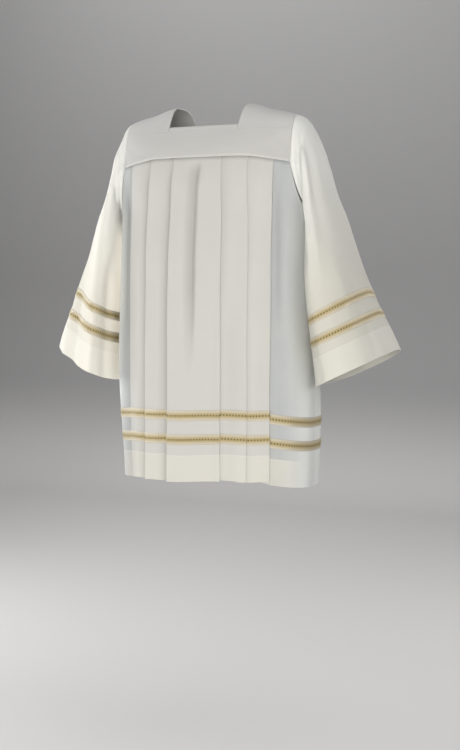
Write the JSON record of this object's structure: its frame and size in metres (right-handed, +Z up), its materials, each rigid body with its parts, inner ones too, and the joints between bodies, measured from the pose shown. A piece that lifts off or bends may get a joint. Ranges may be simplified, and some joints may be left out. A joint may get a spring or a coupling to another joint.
{
  "type": "surplice",
  "caption": "Pleated liturgical surplice with a square neck, a plain yoke, flared sleeves and paired gold braids round hem and cuffs.",
  "frame": {"origin": "the point between the shoulders, level with the side of the neck, from which the wearer holds the surplice up", "axes": "+Z up along the wearer, front towards -Y, wearer's left towards +X"},
  "size_m": [0.803, 0.3345, 0.8729],
  "materials": {
    "body_cloth": "matt fine plain weave, thin ivory",
    "yoke_cloth": "matt fine plain weave, doubled ivory",
    "sleeve_cloth": "matt fine plain weave, ivory",
    "gold_braid": "woven pale gold braid with a darker chain down its middle"
  },
  "bodies": {
    "root": {"yoke_front": "yoke_cloth", "yoke_back": "yoke_cloth", "yoke_shoulder_left": "yoke_cloth", "yoke_shoulder_right": "yoke_cloth", "front_panel": "body_cloth", "back_panel": "body_cloth", "sleeve_left": "sleeve_cloth", "sleeve_right": "sleeve_cloth", "hem_braid_front_upper": "gold_braid", "hem_braid_front_lower": "gold_braid", "hem_braid_back_upper": "gold_braid", "hem_braid_back_lower": "gold_braid", "sleeve_braid_left_upper": "gold_braid", "sleeve_braid_left_lower": "gold_braid", "sleeve_braid_right_upper": "gold_braid", "sleeve_braid_right_lower": "gold_braid"}
  },
  "joints": []
}
